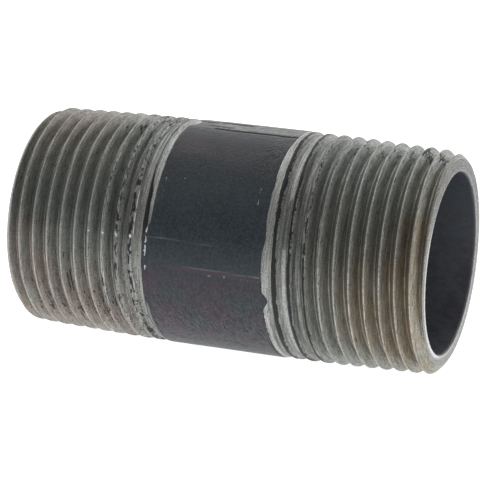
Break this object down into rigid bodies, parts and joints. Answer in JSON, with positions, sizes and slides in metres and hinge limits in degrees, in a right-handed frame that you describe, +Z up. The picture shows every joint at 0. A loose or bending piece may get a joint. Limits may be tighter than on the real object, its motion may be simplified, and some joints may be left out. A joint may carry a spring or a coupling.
{
  "type": "threaded pipe nipple",
  "caption": "Short length of steel pipe with a taper pipe thread on each end, chamfered ends, an open bore and a lacquered plain band between the threads.",
  "frame": {"origin": "the point on the floor under the middle of the nipple as it lies on its side", "axes": "+X along the bore axis, +Z up, +Y across"},
  "size_m": [0.0636, 0.0334, 0.0334],
  "materials": {
    "bare_steel": "die-cut, oily, slightly browned",
    "mill_lacquer": "satin blue-black mill lacquer",
    "bore_lacquer": "dull blue-black film"
  },
  "bodies": {
    "root": {"steel_pipe": "bare_steel", "outer_lacquer": "mill_lacquer", "bore_lacquer": "bore_lacquer"}
  },
  "joints": []
}
